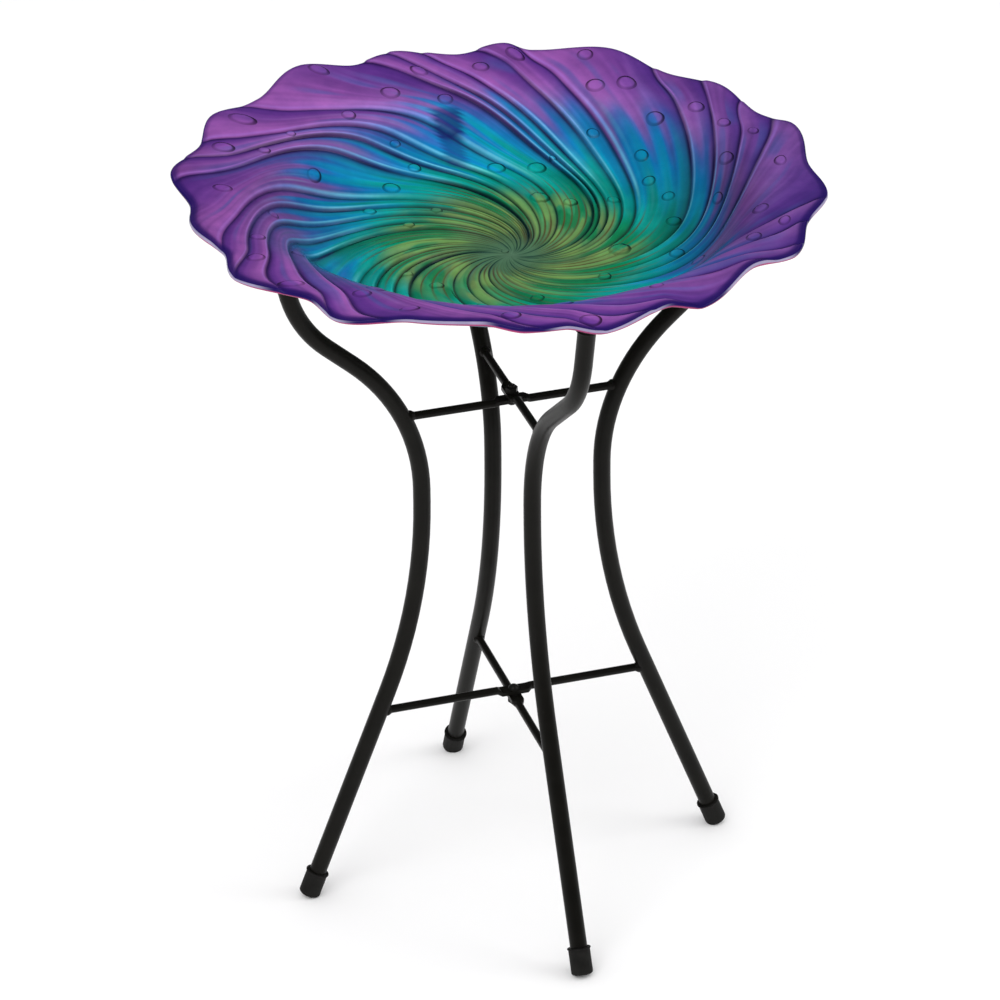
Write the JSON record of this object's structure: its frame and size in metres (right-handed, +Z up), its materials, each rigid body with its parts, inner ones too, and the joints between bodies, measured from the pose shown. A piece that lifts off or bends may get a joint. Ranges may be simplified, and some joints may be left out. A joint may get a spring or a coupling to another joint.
{
  "type": "bird bath",
  "caption": "Round scalloped glass dish resting on a folding tube stand: two crossed leg frames that swing on vertical pivot bolts, with rubber feet and tips.",
  "frame": {"origin": "on the floor, on the pivot axis that the two leg frames swing about", "axes": "+Z up along the pivot axis; the outer frame's legs lie along X and the inner frame's along Y"},
  "size_m": [0.4658, 0.4658, 0.5707],
  "materials": {
    "swirled_glass": "gloss, purple rim through blue to green middle",
    "black_powder_coat": "satin powder coat",
    "black_fastener": "satin black",
    "black_rubber": "matte"
  },
  "bodies": {
    "outer_frame": {"outer_leg_left": "black_powder_coat", "outer_leg_right": "black_powder_coat", "outer_upper_bar": "black_powder_coat", "outer_lower_bar": "black_powder_coat", "upper_pivot_bolt": "black_fastener", "upper_pivot_washer": "black_fastener", "upper_pivot_nut": "black_fastener", "lower_pivot_bolt": "black_fastener", "lower_pivot_washer": "black_fastener", "lower_pivot_nut": "black_fastener", "rubber_foot_left": "black_rubber", "rubber_foot_right": "black_rubber", "rubber_tip_left": "black_rubber", "rubber_tip_right": "black_rubber"},
    "inner_frame": {"inner_leg_front": "black_powder_coat", "inner_leg_rear": "black_powder_coat", "inner_upper_bar": "black_powder_coat", "inner_lower_bar": "black_powder_coat", "rubber_foot_front": "black_rubber", "rubber_foot_rear": "black_rubber", "rubber_tip_front": "black_rubber", "rubber_tip_rear": "black_rubber"},
    "bowl": {"glass_bowl": "swirled_glass"}
  },
  "joints": [
    {"name": "frame_fold", "type": "hinge", "parent": "outer_frame", "child": "inner_frame", "pos_m": [0, 0, 0.27], "axis": [0, 0, 1], "range_deg": [-78, 78]},
    {"name": "bowl_lift", "type": "slide", "parent": "outer_frame", "child": "bowl", "axis": [0, 0, 1], "range_m": [0, 0.15]}
  ]
}
